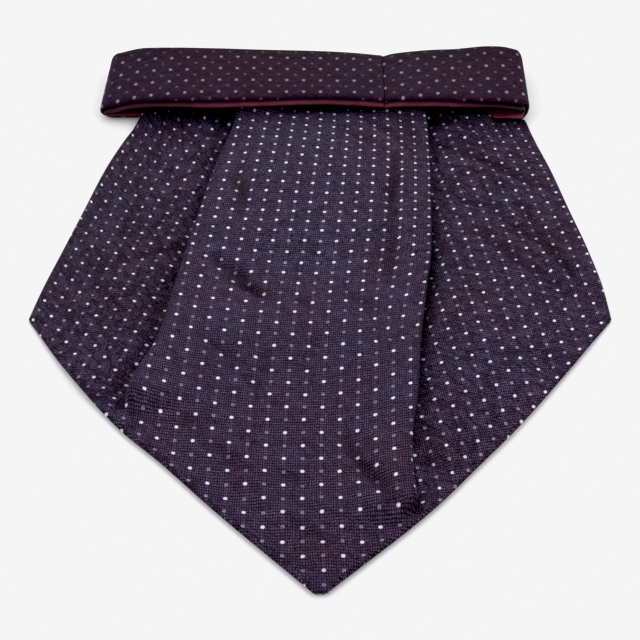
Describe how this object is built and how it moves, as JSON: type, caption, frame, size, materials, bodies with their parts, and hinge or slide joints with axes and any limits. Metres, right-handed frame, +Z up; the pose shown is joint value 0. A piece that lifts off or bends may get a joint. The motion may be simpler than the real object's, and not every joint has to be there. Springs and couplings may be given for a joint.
{
  "type": "silk cravat",
  "caption": "Silk cravat laid flat: a pointed apron with a folded middle panel, gathered under a lined neckband flattened into a loop.",
  "frame": {"origin": "on the table, under the centre of the cravat's bounding box", "axes": "+Z up from the table, +Y from the apron's point to the neckband, +X to the right as seen from above with the point nearest"},
  "size_m": [0.158, 0.224, 0.0102],
  "materials": {
    "dotted_silk": "shot silk in a fine basket weave with pin dots, low sheen",
    "band_silk": "the same silk cut on the bias, low sheen",
    "lining_satin": "burgundy satin, soft sheen"
  },
  "bodies": {
    "root": {"apron": "dotted_silk", "neckband_left": "band_silk", "neckband_right": "band_silk", "neckband_lining_left": "lining_satin", "neckband_lining_right": "lining_satin"}
  },
  "joints": []
}
